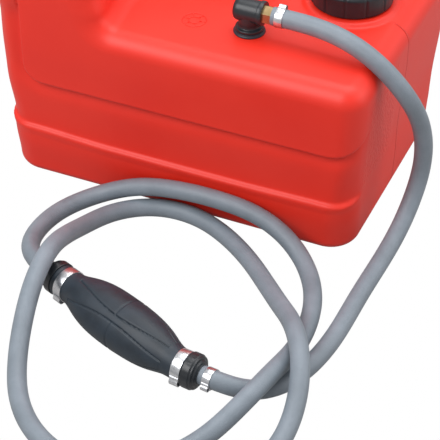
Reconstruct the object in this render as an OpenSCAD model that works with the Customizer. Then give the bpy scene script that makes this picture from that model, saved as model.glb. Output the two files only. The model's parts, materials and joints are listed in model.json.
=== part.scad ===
// Portable outboard fuel tank with its filler cap, pickup fitting, hose line and primer bulb.
// Millimetres. +X runs along the tank towards the filler cap, -Y is the long side that faces
// the coiled hose and +Z is up. The origin is the bottom centre of the tank on the floor.

/* [Tank body] */
// Length of the tank over its bumper band
tank_length = 345; // [320:1:400]
// Width of the tank over its bumper band
tank_width = 236; // [220:1:280]
// Height of the low part of the top
tank_height = 178; // [165:1:200]
// Height of the raised block at the handle end
block_height = 222; // [212:1:236]
// Position along X of the step between the block and the low top
block_edge = -66; // [-80:1:-50]
// Length over which the step falls
block_slope = 20; // [14:1:28]
// Plan radius of the vertical corners
corner_radius = 26; // [20:1:36]
// Radius of the shoulder all round the top
shoulder_radius = 18; // [12:1:22]
// Radius of the edge round the bottom
bottom_radius = 10; // [6:1:14]
// Thickness of the moulded wall
tank_wall = 3.5; // [2.5:0.1:5]
// Height of the top of the bumper band
band_top = 51; // [44:1:58]
// How far the belt above the band is set in
belt_inset = 3.5; // [2:0.1:6]
// Height of the bottom edge of the upper side panel
panel_bottom = 106; // [98:1:114]
// How far the upper side panel stands proud
panel_proud = 4; // [2:0.1:5]

/* [Carrying handle] */
// Height of the top of the handle
handle_top = 236; // [232:1:246]
// Width of the grip across the tank
handle_width = 32; // [26:1:38]
// Depth of the grip
handle_depth = 22; // [18:1:24]
// Position of the handle along Y
handle_y = 18; // [5:1:25]
// Position along X of the foot on the low top
handle_foot = 35; // [28:1:42]

/* [Filler cap] */
// Distance from the cap's axis to the end of the tank
cap_from_end = 57.5; // [54:0.5:62]
// Position of the cap along Y
cap_y = 19; // [10:1:25]
// Inside radius of the filler neck
neck_bore = 24; // [20:0.5:26]
// Thickness of the neck's wall
neck_wall = 4; // [3:0.1:5]
// Height of the neck above the low top
neck_rise = 18; // [16:1:22]
// Outside radius of the cap
cap_radius = 37.2; // [36:0.1:42]
// Thickness of the cap's skirt and top
cap_skin = 3; // [2.4:0.1:4]
// Number of grip grooves round the cap
cap_grooves = 12; // [8:1:20]
// Rise of the cap in one turn of its thread
cap_pitch = 5; // [3:0.5:6]
// Radius of the vent knob
vent_radius = 9; // [7:0.5:12]

/* [Pickup fitting] */
// Position of the fitting along X
pickup_x = 50; // [45:1:55]
// Position of the fitting along Y
pickup_y = -62; // [-68:1:-58]
// Height of the elbow's outlet above the low top
elbow_rise = 21; // [20:0.5:24]
// Outside radius of the elbow's barrel
barrel_radius = 10.3; // [9:0.1:12]
// Outside radius of the pickup tube
tube_radius = 7; // [6:0.1:7.4]

/* [Fuel hose] */
// Outside diameter of the fuel hose
hose_diameter = 16.5; // [14:0.5:17]
// Outside radius of the barbs inside the hose
barb_radius = 5.2; // [4:0.1:5.6]
// Width of a hose clamp
clamp_width = 8; // [6:0.5:10]
// Thickness of a clamp band
clamp_band = 0.9; // [0.6:0.1:1.2]

/* [Primer bulb] */
// Radius of the bulb at its widest
bulb_radius = 24; // [21:0.5:26]
// Radius of the bulb's necks
bulb_neck = 14; // [13:0.1:14.5]
// Thickness of the bulb's rubber wall
bulb_wall = 3; // [2.4:0.1:4]
// Direction of the bulb in plan, degrees from +X
bulb_angle = -22; // [-30:1:-15]
// Bend of the inlet neck in plan, degrees
neck_bend = 14; // [8:1:18]

/* [Engine connector] */
// Width of the connector's housing
connector_width = 24; // [22:0.5:30]
// Height of the connector's housing
connector_height = 20; // [19:0.5:20.5]
// Radius of the socket for the engine's nipple
socket_radius = 7; // [6:0.1:7.5]

/* [Hidden] */
$fn = 48;
hose_r = hose_diameter / 2;
slack = 0.3;
running = 0.05;

// Cap, neck and vent levels
cap_x = tank_length / 2 - cap_from_end;
neck_top = tank_height + neck_rise;
neck_outer = neck_bore + neck_wall;
gasket_thick = 2.6;
plate_under = neck_top + gasket_thick + 2 * 0.2;
cap_top = plate_under + cap_skin + 1;
skirt_bottom = tank_height + 4.5;
plug_outer = neck_bore - 0.8;
vent_stem = 4;
vent_hole = vent_stem + 0.3;

// Pickup levels
elbow_z = tank_height + elbow_rise;
grommet_top = tank_height + 3;
flange_top = grommet_top + 3;
hole_radius = 11;
spigot_radius = 7.4;
spigot_bottom = tank_height - 13;
nipple_radius = tube_radius - 2;
tail_x = pickup_x + 14;
hex_length = 8;
hose_x = tail_x + hex_length;

// How far the model's ends have moved from the size that the hose was laid out for
end_shift = (tank_length - 345) / 2;
side_shift = -(tank_width - 236) / 2;
top_shift = tank_height - 178;
lift = hose_r - 8.25;

// Bulb axis, its two ends and the bent inlet
bulb_at = [36, -298 + side_shift, bulb_radius];
outlet_face = 92;
pivot_at = 72;
inlet_angle = bulb_angle + neck_bend;
inlet_face = 20;
function along(a, d) = [d * cos(a), d * sin(a), 0];
inlet_at = bulb_at + along(bulb_angle, pivot_at);
barb_length = 16;

// Connector, lying on the floor at the hose's far end
connector_at = [198, -400 + side_shift, 10.5];
connector_angle = -105;

// Hose routes as centre lines. The first goes from the elbow over the edge of the tank to the
// bulb's inlet, the second from the bulb's outlet round the big coil to the engine connector.
function lean(p) = [
    p[0] + end_shift * max(0, min(1, (p[0] - 110) / 70)),
    p[1] + side_shift * max(0, min(1, (-p[1] - 80) / 60)),
    p[2] + lift + top_shift * max(0, min(1, (p[2] - 30) / 120))
];
tank_route = concat(
    [[hose_x, pickup_y, elbow_z], [hose_x + 16, pickup_y, elbow_z]],
    [for (p = [
        [112, -63, 199], [138, -67, 197], [162, -71, 190], [184, -73, 175.5], [201, -67, 151],
        [209, -56, 124], [212, -48, 96], [212, -47, 68], [209, -57, 41], [206, -79, 21.5],
        [203, -106, 11.5], [201, -136, 8.5], [200, -166, 8.5], [200, -197, 8.5],
        [199.5, -227, 8.5], [196, -256, 8.5], [189, -283, 9], [178, -306, 11.5],
        [161, -323, 16]
    ]) lean(p)],
    [inlet_at + along(inlet_angle, inlet_face + barb_length + 1),
     inlet_at + along(inlet_angle, inlet_face)]
);
engine_route = concat(
    [bulb_at - along(bulb_angle, outlet_face), bulb_at - along(bulb_angle, outlet_face + 16)],
    [for (p = [
        [-78, -247, 21.5], [-90, -228, 16], [-96, -199, 10.5], [-91, -167, 9], [-70, -141, 13],
        [-34, -127.5, 25.5], [8, -127.5, 35], [48, -127.5, 36.5], [86, -128, 32.5],
        [118, -134, 21.5], [146, -154, 10.5], [166, -189, 8.5], [175, -230, 10],
        [178, -268, 19], [176, -311, 31], [167, -346, 27], [150, -382, 14], [126, -414, 8.5],
        [95, -437, 8.5], [57, -443, 8.5], [21, -428, 8.5], [-8, -401, 8.5], [-28, -367, 12.5],
        [-40, -332, 27.5], [-47, -297, 43.5], [-51, -260, 48], [-56, -221, 32],
        [-58, -185, 14.5], [-46, -151, 9], [-14, -128.5, 9], [26, -126.5, 9.5],
        [62, -140, 8.5], [95, -163, 8.5], [123, -191, 11.5], [148, -221, 21],
        [171, -252, 35.5], [191, -285, 39], [204, -320, 27], [207, -355, 13.5]
    ]) [p[0], p[1] + side_shift, p[2] + lift]],
    [connector_at - along(connector_angle, 16), connector_at]
);

// Colours
red = "#dc3c2d";
black = "#32383f";
grey = "#919ba8";
steel = "#c8ccd0";
brass = "#c8aa5a";
dark = "#22262b";

// ---- The moulded tank: a stack of rings in plan, skinned as one loft ----

// A value that runs through pairs of [position, value]
function through(x, t, i = 0) =
    x <= t[0][0] ? t[0][1]
    : i >= len(t) - 1 ? t[len(t) - 1][1]
    : x <= t[i + 1][0]
        ? t[i][1] + (t[i + 1][1] - t[i][1]) * (x - t[i][0]) / (t[i + 1][0] - t[i][0])
        : through(x, t, i + 1);
// A smooth fall from 1 to 0 as t goes from 0 to 1
function fall(t) = let (u = max(0, min(1, t))) 1 - u * u * (3 - 2 * u);
// Height of the top at a position along X; inset moves the step for the inside skin
function top_at(x, inset) = tank_height - inset
    + (block_height - tank_height) * fall((x + inset - block_edge) / block_slope + 0.5);
// Plan offset of the side wall from the band at a height
wall_profile = [
    [bottom_radius, -2.5], [band_top - 9, 0], [band_top, 0], [band_top + 3, -0.6 * belt_inset],
    [band_top + 7, -belt_inset], [panel_bottom - 2, -0.3 * belt_inset],
    [panel_bottom + 2, 0.75 * panel_proud], [panel_bottom + 44, panel_proud]
];
// Stations along a long side, close together where the block steps down
half_run = tank_length / 2 - corner_radius;
side_stations = concat(
    [-half_run, -half_run * 0.8],
    [for (d = [-26, -15, -11, -8, -5, -2, 1, 4, 7, 10, 14, 24]) block_edge + d],
    [for (k = [1:4]) (block_edge + 24) + (half_run - block_edge - 24) * k / 4]
);
end_stations = [for (k = [-1:0.5:1]) k * (tank_width / 2 - corner_radius)];
arc_steps = 6;
// One ring: offset from the band line, then a loop of plan points, counter-clockwise
function ring(off) = let (
        rc = corner_radius + off,
        cx = half_run,
        cy = tank_width / 2 - corner_radius
    ) concat(
        [for (x = side_stations) [x, -cy - rc]],
        [for (k = [1:arc_steps - 1]) [cx + rc * sin(90 * k / arc_steps), -cy - rc * cos(90 * k / arc_steps)]],
        [for (y = end_stations) [cx + rc, y]],
        [for (k = [1:arc_steps - 1]) [cx + rc * cos(90 * k / arc_steps), cy + rc * sin(90 * k / arc_steps)]],
        [for (k = [len(side_stations) - 1:-1:0]) [side_stations[k], cy + rc]],
        [for (k = [1:arc_steps - 1]) [-cx - rc * sin(90 * k / arc_steps), cy + rc * cos(90 * k / arc_steps)]],
        [for (k = [len(end_stations) - 1:-1:0]) [-cx - rc, end_stations[k]]],
        [for (k = [1:arc_steps - 1]) [-cx - rc * cos(90 * k / arc_steps), -cy - rc * sin(90 * k / arc_steps)]]
    );
function skin_rings(inset) = let (
        br = bottom_radius - min(inset, bottom_radius - 3),
        sr = shoulder_radius - min(inset, shoulder_radius - 6),
        side = [for (z = [bottom_radius, band_top - 9, band_top, band_top + 3, band_top + 7,
                panel_bottom - 2, panel_bottom + 2, panel_bottom + 44]) z]
    ) concat(
        [for (a = [0, 30, 60]) let (off = through(bottom_radius, wall_profile) - inset - br * (1 - sin(a)))
            [for (p = ring(off)) [p[0], p[1], inset + br * (1 - cos(a))]]],
        [for (z = side) [for (p = ring(through(z, wall_profile) - inset)) [p[0], p[1], max(z, inset + br)]]],
        [for (a = [0, 18, 36, 54, 72, 90]) let (off = panel_proud - inset - sr * (1 - cos(a)))
            [for (p = ring(off)) [p[0], p[1], top_at(p[0], inset) - sr * (1 - sin(a))]]]
    );
module skin(inset) {
    rings = skin_rings(inset);
    m = len(rings);
    n = len(rings[0]);
    ns = len(side_stations);
    ne = len(end_stations);
    right_count = ne + 2 * (arc_steps - 1);
    last = (m - 1) * n;
    // On the top, a strip joins each front station to the back station opposite it
    back_first = ns + right_count;
    polyhedron(
        points = [for (r = rings) for (p = r) p],
        faces = concat(
            [[for (k = [0:n - 1]) k]],
            [for (j = [0:m - 2]) for (k = [0:n - 1]) each [
                [j * n + k, (j + 1) * n + k, (j + 1) * n + (k + 1) % n],
                [j * n + k, (j + 1) * n + (k + 1) % n, j * n + (k + 1) % n]]],
            [for (k = [0:ns - 2]) let (f = last + k, b = last + back_first + ns - 1 - k)
                each [[f, b, b - 1], [f, b - 1, f + 1]]],
            [[for (k = [right_count + 1:-1:0]) last + ns - 1 + k]],
            [concat([last], [for (k = [n - 1:-1:back_first + ns - 1]) last + k])]
        )
    );
}

// A tube of rings along a path of [x, z] centres in the XZ plane, each with a scale
module handle() {
    top = handle_top - handle_depth / 2;
    path = [
        [block_edge - 59, block_height - 14, 1], [block_edge - 39, block_height - 8, 1],
        [block_edge - 22, top - 3, 1], [block_edge - 4, top, 1],
        [handle_foot - 45, top, 1], [handle_foot - 23, top - 3, 1], [handle_foot - 9, top - 13, 1.02],
        [handle_foot - 2, top - 27, 1.08], [handle_foot, top - 42, 1.15],
        [handle_foot, tank_height - 6, 1.3]
    ];
    turn = [0, 20, 10, 0, -4, -25, -55, -75, -88, -90];
    n = 12;
    m = len(path);
    pts = [for (i = [0:m - 1]) for (k = [0:n - 1]) let (
            a = 360 * k / n + 15,
            u = handle_depth / 2 * path[i][2] * sign(sin(a)) * pow(abs(sin(a)), 0.7),
            v = handle_width / 2 * path[i][2] * sign(cos(a)) * pow(abs(cos(a)), 0.7)
        ) [path[i][0] - u * sin(turn[i]), handle_y + v, path[i][1] + u * cos(turn[i])]];
    polyhedron(points = pts, faces = concat(
        [[for (k = [0:n - 1]) k]],
        [for (i = [0:m - 2]) for (k = [0:n - 1]) each [
            [i * n + k, (i + 1) * n + (k + 1) % n, i * n + (k + 1) % n],
            [i * n + k, (i + 1) * n + k, (i + 1) * n + (k + 1) % n]]],
        [[for (k = [n - 1:-1:0]) (m - 1) * n + k]]
    ));
}

module tank_shell() color(red) resize([0, 0, 0]) difference() {
    union() {
        difference() {
            union() {
                skin(0);
                handle();
            }
            skin(tank_wall);
        }
        // Raised seat under the cap, then the neck with its two thread beads
        translate([cap_x, cap_y, tank_height - 2]) cylinder(h = 4.5, r1 = 44, r2 = 41);
        translate([cap_x, cap_y, tank_height - tank_wall]) cylinder(h = neck_rise + tank_wall, r = neck_outer);
        for (z = [8, 13]) translate([cap_x, cap_y, tank_height + z]) cylinder(h = 1.6, r = neck_outer + 0.9);
    }
    translate([cap_x, cap_y, tank_height - 12]) cylinder(h = neck_rise + 20, r = neck_bore);
    // The hole's flats clear the grommet that fills it
    translate([pickup_x, pickup_y, tank_height - 10])
        cylinder(h = 20, r = (hole_radius + running) / cos(180 / $fn));
}
tank_shell();

// ---- Filler cap: moulded cap, gasket, vent knob and its washer ----

module at_cap() translate([cap_x, cap_y, 0]) children();

// The cap is turned from one profile: skirt, rounded edge, top, plug ring and thread ring
module cap_shell() color(black) at_cap() difference() {
    rotate_extrude() polygon([
        [cap_radius - cap_skin, skirt_bottom], [cap_radius, skirt_bottom],
        [cap_radius, cap_top - 4], [cap_radius - 0.6, cap_top - 2], [cap_radius - 2, cap_top - 0.6],
        [cap_radius - 4, cap_top], [cap_radius - 9, cap_top], [cap_radius - 10, cap_top - 0.8],
        [14, cap_top - 0.8], [13, cap_top], [vent_hole, cap_top], [vent_hole, plate_under - 4],
        [vent_hole + 3, plate_under - 4], [vent_hole + 3, plate_under],
        [plug_outer - 3, plate_under], [plug_outer - 3, neck_top - 4], [plug_outer, neck_top - 4],
        [plug_outer, plate_under], [neck_outer + 1.2, plate_under],
        [neck_outer + 1.2, skirt_bottom + 3], [neck_outer + 3.7, skirt_bottom + 3],
        [neck_outer + 3.7, plate_under], [cap_radius - cap_skin, plate_under]
    ]);
    // Grip grooves down the skirt
    for (k = [0:cap_grooves - 1]) rotate(360 * (k + 0.35) / cap_grooves)
        translate([cap_radius + 0.7, 0, skirt_bottom - 1]) cylinder(h = cap_top - skirt_bottom - 2, r = 2.2);
}
cap_shell();

module ring_between(z0, z1, ri, ro) rotate_extrude() translate([ri, z0]) square([ro - ri, z1 - z0]);

module cap_gasket() color(dark) at_cap()
    ring_between(neck_top + 0.2, plate_under - 0.2, plug_outer + slack, neck_outer + 0.6);
cap_gasket();

module vent_washer() color(dark) at_cap()
    ring_between(cap_top + 0.2, cap_top + 1.2, vent_stem + slack, vent_stem + 3.4);
vent_washer();

module vent_knob() color(black) at_cap() difference() {
    rotate_extrude() polygon([
        [0, plate_under - 6], [vent_stem - 1, plate_under - 6], [vent_stem, plate_under - 5],
        [vent_stem, cap_top + 1.4], [vent_radius, cap_top + 1.4], [vent_radius, cap_top + 6.4],
        [vent_radius - 1.4, cap_top + 7.8], [0, cap_top + 7.8]
    ]);
    for (k = [0:11]) rotate(30 * k) translate([vent_radius + 0.5, 0, cap_top])
        cylinder(h = 10, r = 1.2);
}
vent_knob();

// ---- Pickup fitting on the top, with its tube and strainer inside the tank ----

module at_pickup() translate([pickup_x, pickup_y, 0]) children();

module pickup_grommet() color(dark) at_pickup() rotate_extrude() polygon([
    [spigot_radius, tank_height - tank_wall - 3], [hole_radius + 2, tank_height - tank_wall - 3],
    [hole_radius + 2, tank_height - tank_wall], [hole_radius, tank_height - tank_wall],
    [hole_radius, tank_height], [hole_radius + 3, tank_height], [hole_radius + 3, grommet_top - 0.8],
    [hole_radius + 2.2, grommet_top], [spigot_radius, grommet_top]
]);
pickup_grommet();

module pickup_elbow() color(black) at_pickup() difference() {
    union() {
        rotate_extrude() polygon([
            [0, spigot_bottom - 15], [nipple_radius, spigot_bottom - 15], [nipple_radius, spigot_bottom],
            [spigot_radius, spigot_bottom], [spigot_radius, grommet_top], [12.5, grommet_top],
            [12.5, flange_top - 0.8], [11.7, flange_top], [9, flange_top], [9, elbow_z], [0, elbow_z]
        ]);
        // Barrel with a domed blind end and a raised lip at its outlet
        translate([0, 0, elbow_z]) rotate([0, 90, 0]) rotate_extrude() polygon([
            [0, -13.5], [6, -12.7], [9, -10.6], [barrel_radius, -7], [barrel_radius, 10],
            [barrel_radius + 0.7, 10], [barrel_radius + 0.7, 14], [0, 14]
        ]);
    }
    translate([0, 0, spigot_bottom - 16]) cylinder(h = elbow_z - spigot_bottom + 16, r = 3);
    translate([0, 0, elbow_z]) rotate([0, 90, 0]) cylinder(h = 15, r = 4.9);
}
pickup_elbow();

module pickup_tube() color(grey) at_pickup() difference() {
    translate([0, 0, 14]) cylinder(h = spigot_bottom - 14, r = tube_radius);
    translate([0, 0, 13]) cylinder(h = spigot_bottom, r = nipple_radius);
}
pickup_tube();

module pickup_strainer() color(dark) at_pickup() difference() {
    translate([0, 0, 6]) cylinder(h = 20, r = tube_radius + 2);
    translate([0, 0, 14]) cylinder(h = 20, r = tube_radius);
    translate([0, 0, 8]) cylinder(h = 20, r = nipple_radius);
    for (a = [0:45:135]) rotate(a) translate([-15, -0.9, 8.5]) cube([30, 1.8, 4.5]);
}
pickup_strainer();

// ---- Pieces of the hose line ----

// A length of hose swept along a centre line, with ten-sided rings turned to the bends
function unit(v) = v / norm(v);
function heading(p, i) = i == 0 ? unit(p[1] - p[0])
    : i == len(p) - 1 ? unit(p[i] - p[i - 1])
    : unit(unit(p[i] - p[i - 1]) + unit(p[i + 1] - p[i]));
// Carries one side direction along the line without letting it twist
function sides(p, i, s) = i == len(p) ? [] :
    let (d = heading(p, i), v = unit(s - (s * d) * d)) concat([v], sides(p, i + 1, v));
module hose(p) {
    n = 10;
    m = len(p);
    across = sides(p, 0, [0, 0, 1]);
    ringed = [for (i = [0:m - 1]) let (
            side = across[i],
            up = cross(heading(p, i), side)
        ) each [for (k = [0:n - 1]) let (a = 360 * (k + 0.5) / n)
            p[i] + hose_r * (cos(a) * side + sin(a) * up)]];
    polyhedron(points = ringed, faces = concat(
        [[for (k = [0:n - 1]) k]],
        [for (i = [0:m - 2]) for (k = [0:n - 1]) each [
            [i * n + k, (i + 1) * n + k, (i + 1) * n + (k + 1) % n],
            [i * n + k, (i + 1) * n + (k + 1) % n, i * n + (k + 1) % n]]],
        [[for (k = [n - 1:-1:0]) (m - 1) * n + k]]
    ));
}
module hose_tank_side() color(grey) hose(tank_route);
hose_tank_side();
module hose_engine_side() color(grey) hose(engine_route);
hose_engine_side();

// Lays a turned piece along +X
module lying() rotate([0, 90, 0]) children();
// Profile points of a barbed spigot from s = 0 to its tip
function barbs(len) = [
    [barb_radius - 0.6, 0], [barb_radius - 0.6, 1], [barb_radius, 1], [barb_radius - 0.5, len / 3],
    [barb_radius, len / 3], [barb_radius - 0.5, 2 * len / 3], [barb_radius, 2 * len / 3],
    [barb_radius - 1.2, len]
];
// A band round a hose or neck, with its crimped ear on one side
module band(r, width, ear_angle, ear) {
    lying() difference() {
        cylinder(h = width, r = r + clamp_band);
        translate([0, 0, -1]) cylinder(h = width + 2, r = r);
    }
    rotate([ear_angle, 0, 0]) translate([1, -ear / 2, r + clamp_band - 0.3]) cube([width - 2, ear, 3.2]);
}

module hose_tail() color(brass) translate([tail_x, pickup_y, elbow_z]) difference() {
    union() {
        lying() translate([0, 0, -9]) cylinder(h = 9, r = 4.9);
        lying() cylinder(h = hex_length, d = 15 / cos(30), $fn = 6);
        lying() rotate_extrude() polygon(concat([[0, hex_length]], [for (q = barbs(20)) [q[0], q[1] + hex_length]],
            [[0, hex_length + 20]]));
    }
    lying() translate([0, 0, -10]) cylinder(h = 50, r = 2.6);
}
hose_tail();

module tank_hose_clamp() color(steel) translate([hose_x + 3, pickup_y, elbow_z])
    band(hose_r + running, clamp_width, 20, 8);
tank_hose_clamp();

// ---- Primer bulb ----

module at_bulb() translate(bulb_at) rotate([0, 0, bulb_angle]) children();
module at_inlet() translate(inlet_at) rotate([0, 0, inlet_angle]) children();

// Half profile of the bulb as [distance along the axis, share of the way from neck to belly]
bulb_profile = [
    [-62, 0], [-57, 0.1], [-52, 0.27], [-46, 0.48], [-39, 0.68], [-30, 0.86], [-20, 0.96], [-8, 1],
    [6, 0.99], [18, 0.94], [29, 0.84], [39, 0.68], [47, 0.48], [54, 0.25], [59, 0.09], [64, 0]
];
function belly(q, inset) = bulb_neck - inset + (bulb_radius - bulb_neck) * q[1];
module bulb_form(inset) lying() rotate_extrude() polygon(concat(
    [[0, -78], [bulb_neck - inset, -78]],
    [for (q = bulb_profile) [belly(q, inset), q[0]]],
    [[0, 64]]
));
neck_insert = 10;
band_start = -2.5;
module bulb_body() color(black) resize([0, 0, 0]) difference() {
    union() {
        at_bulb() bulb_form(0);
        translate(inlet_at) sphere(r = bulb_neck);
        at_bulb() lying() translate([0, 0, 63]) cylinder(h = pivot_at - 63, r = bulb_neck);
        at_inlet() lying() cylinder(h = 7.4, r = bulb_neck);
    }
    at_bulb() lying() rotate_extrude() polygon(concat(
        [[0, -60], [neck_insert, -60]],
        [for (q = bulb_profile) [max(neck_insert, belly(q, bulb_wall)), q[0]]],
        [[neck_insert, 66], [0, 66]]
    ));
    translate(inlet_at) sphere(r = neck_insert);
    at_bulb() lying() translate([0, 0, -79]) cylinder(h = 20, r = neck_insert);
    at_bulb() lying() translate([0, 0, 60]) cylinder(h = pivot_at - 60, r = neck_insert);
    at_inlet() lying() translate([0, 0, -5.5]) cylinder(h = 14, r = neck_insert);
    // Squares off the bent neck against the fitting's collar
    at_inlet() lying() translate([0, 0, 7.4]) cylinder(h = 12, r = bulb_neck + 4);
    // The band squeezes the neck round where it bends
    at_inlet() lying() translate([0, 0, band_start - slack])
        ring_between(0, 12, bulb_neck + running, bulb_neck + 6);
}
bulb_body();

// Valve fitting along +X from its collar's inner face: insert behind, barb in front
valve_room = 6.5;
module fitting(collar, collar_len, insert_len, seat, room) difference() {
    union() {
        lying() translate([0, 0, -insert_len]) cylinder(h = insert_len + 1, r = neck_insert);
        lying() rotate_extrude() polygon([
            [0, 0.1], [collar - 1, 0.1], [collar, 1.1], [collar, collar_len - 2.5],
            [collar - 1.8, collar_len - 0.8], [collar - 4.5, collar_len], [0, collar_len]
        ]);
        lying() rotate_extrude() polygon(concat(
            [[0, collar_len - 1]], [for (q = barbs(barb_length)) [q[0], q[1] + collar_len]],
            [[0, collar_len + barb_length]]
        ));
    }
    lying() translate([0, 0, -insert_len - 1]) cylinder(h = 60, r = 3);
    lying() translate([0, 0, seat - room]) cylinder(h = room, r = valve_room);
}
module bulb_inlet_fitting() color(black) at_inlet() translate([7.5, 0, 0])
    fitting(15.8, inlet_face - 7.5, 12.5, -5, 4.5);
bulb_inlet_fitting();
module bulb_outlet_fitting() color(black) at_bulb() rotate([0, 0, 180]) translate([78.1, 0, 0])
    fitting(14.5, outlet_face - 78.1, 14, -5, 4.5);
bulb_outlet_fitting();

module valve_disc() lying() cylinder(h = 1.5, r = valve_room - 1);
module inlet_check_valve() color(brass) at_inlet() translate([7.5 - 5 - 1.6, 0, 0]) valve_disc();
inlet_check_valve();
module outlet_check_valve() color(brass) at_bulb() rotate([0, 0, 180]) translate([78.1 - 9.5 + 0.1, 0, 0]) valve_disc();
outlet_check_valve();

module bulb_inlet_band() color(steel) at_inlet() translate([band_start, 0, 0]) band(bulb_neck + 0.1, 9, 125, 9);
bulb_inlet_band();
module bulb_outlet_band() color(steel) at_bulb() translate([-73, 0, 0]) band(bulb_neck + 0.1, 9, 125, 9);
bulb_outlet_band();

module inlet_hose_clamp() color(steel) at_inlet() translate([inlet_face + 4, 0, 0])
    band(hose_r + running, clamp_width, 125, 7);
inlet_hose_clamp();
module outlet_hose_clamp() color(steel) at_bulb() translate([-outlet_face - 4 - clamp_width, 0, 0])
    band(hose_r + running, clamp_width, 125, 7);
outlet_hose_clamp();

// ---- Engine connector at the hose's far end, built along +X ----

module at_connector() translate(connector_at) rotate([0, 0, connector_angle]) children();
body_start = 6;
body_end = 60;
pin_x = 40;
pin_z = connector_height / 2 + 3.5;
pin_radius = 1.5;
module rounded_rect(w, h, r) {
    square([w - 2 * r, h], center = true);
    square([w, h - 2 * r], center = true);
    for (i = [-1, 1], j = [-1, 1]) translate([i * (w / 2 - r), j * (h / 2 - r)]) circle(r = r);
}
module connector_body() color(dark) at_connector() difference() {
    union() {
        translate([body_start, 0, 0]) lying() linear_extrude(body_end - body_start)
            rounded_rect(connector_height, connector_width, 4);
        // Ears that carry the latch pin
        for (s = [-1, 1]) translate([pin_x - 6, s * 8.5 - 1.5, connector_height / 2 - 2])
            cube([12, 3, pin_z - connector_height / 2 + 5]);
    }
    lying() cylinder(h = 17, r = 4.9);
    lying() cylinder(h = 30, r = 2.6);
    lying() translate([0, 0, 24]) cylinder(h = 18, r = 5.2);
    lying() translate([0, 0, 41.9]) cylinder(h = 20, r = socket_radius);
    lying() translate([0, 0, 49]) cylinder(h = 3, r = socket_radius + 1.5);
    translate([pin_x, 20, pin_z]) rotate([90, 0, 0]) cylinder(h = 40, r = pin_radius);
}
connector_body();

module connector_tail() color(brass) at_connector() difference() {
    union() {
        lying() cylinder(h = 6, d = 15 / cos(30), $fn = 6);
        lying() cylinder(h = 16, r = 4.9);
        lying() mirror([0, 0, 1]) rotate_extrude() polygon(concat(
            [[0, -1]], [for (q = barbs(20)) [q[0], q[1]]], [[0, 20]]));
    }
    lying() translate([0, 0, -21]) cylinder(h = 40, r = 2.6);
}
connector_tail();

module connector_clamp() color(steel) at_connector() translate([-4 - clamp_width, 0, 0])
    band(hose_r + running, clamp_width, 0, 7);
connector_clamp();

module connector_seal() color(black) at_connector() lying() translate([0, 0, 49])
    ring_between(0, 3, socket_radius - 0.6, socket_radius + 1.5);
connector_seal();

module connector_plunger() color(steel) at_connector() {
    lying() translate([0, 0, 32]) cylinder(h = 9, r = 5.2 - running);
    lying() translate([0, 0, 40]) cylinder(h = 6, r = 2.4);
}
connector_plunger();

// Lever over the housing: thumb pad behind the pin, hook in front of the socket
module connector_latch() color(dark) at_connector() difference() {
    translate([0, 6.4, 0]) rotate([90, 0, 0]) linear_extrude(12.8) polygon([
        [22, pin_z + 2.2], [22, pin_z + 4.6], [30, pin_z + 4.6], [pin_x, pin_z + 3.2],
        [66, pin_z + 2.2], [66, pin_z - 7], [62, pin_z - 5.5], [62, pin_z - 0.8],
        [pin_x + 4, pin_z - 2.4], [pin_x - 4, pin_z - 2.4], [30, pin_z + 1.4]
    ]);
    translate([pin_x, 20, pin_z]) rotate([90, 0, 0]) cylinder(h = 40, r = pin_radius + running);
}
connector_latch();

module latch_pin() color(steel) at_connector() translate([pin_x, 10.6, pin_z]) rotate([90, 0, 0])
    cylinder(h = 21.2, r = pin_radius);
latch_pin();
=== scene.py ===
import json
import math

import bmesh
import bpy
import numpy as np
from mathutils import Matrix, Vector


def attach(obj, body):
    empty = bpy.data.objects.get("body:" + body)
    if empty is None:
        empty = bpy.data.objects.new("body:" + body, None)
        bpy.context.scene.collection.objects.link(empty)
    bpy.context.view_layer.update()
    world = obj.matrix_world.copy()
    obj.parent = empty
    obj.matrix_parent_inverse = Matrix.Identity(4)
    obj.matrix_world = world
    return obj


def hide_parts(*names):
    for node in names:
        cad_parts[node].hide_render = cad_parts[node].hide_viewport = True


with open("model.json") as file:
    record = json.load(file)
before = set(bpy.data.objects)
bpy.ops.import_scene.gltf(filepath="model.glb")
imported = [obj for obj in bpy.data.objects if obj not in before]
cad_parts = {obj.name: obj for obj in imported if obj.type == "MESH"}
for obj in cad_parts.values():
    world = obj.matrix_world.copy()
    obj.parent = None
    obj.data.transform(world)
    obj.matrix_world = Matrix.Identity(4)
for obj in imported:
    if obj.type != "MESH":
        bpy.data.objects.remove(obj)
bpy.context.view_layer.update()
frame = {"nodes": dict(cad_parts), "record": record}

# Lengths are in millimetres and are turned into metres where a mesh is made. Shaders and lights use metres.
MM = 0.001
TURN = 2 * math.pi
scene = bpy.context.scene

# ------------------------------------------------------------------ camera
AZIMUTH, ELEVATION = math.radians(23.7), math.radians(39.2)
FOCAL_PX, DISTANCE = 1900.0, 1740.0
TARGET = np.array([44.0, -112.3, 0.0])
IMAGE_PX, SENSOR = 440.0, 36.0


def make_camera():
    """The photograph's view: round from the front by AZIMUTH and down by ELEVATION."""
    level = math.cos(ELEVATION)
    back = np.array([math.sin(AZIMUTH) * level, -math.cos(AZIMUTH) * level, math.sin(ELEVATION)])
    right = np.array([math.cos(AZIMUTH), math.sin(AZIMUTH), 0.0])
    up = np.cross(back, right)
    data = bpy.data.cameras.new("Camera")
    data.sensor_width = SENSOR
    data.lens = FOCAL_PX * SENSOR / IMAGE_PX
    data.clip_end = 50.0
    camera = bpy.data.objects.new("Camera", data)
    scene.collection.objects.link(camera)
    turn = Matrix([[right[i], up[i], back[i]] for i in range(3)]).to_4x4()
    camera.matrix_world = Matrix.Translation(Vector((TARGET + DISTANCE * back) * MM)) @ turn
    scene.camera = camera


make_camera()


# ------------------------------------------------------------------ mesh helpers
def change_mesh(ob, change):
    bm = bmesh.new()
    bm.from_mesh(ob.data)
    change(bm)
    bm.to_mesh(ob.data)
    bm.free()


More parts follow.
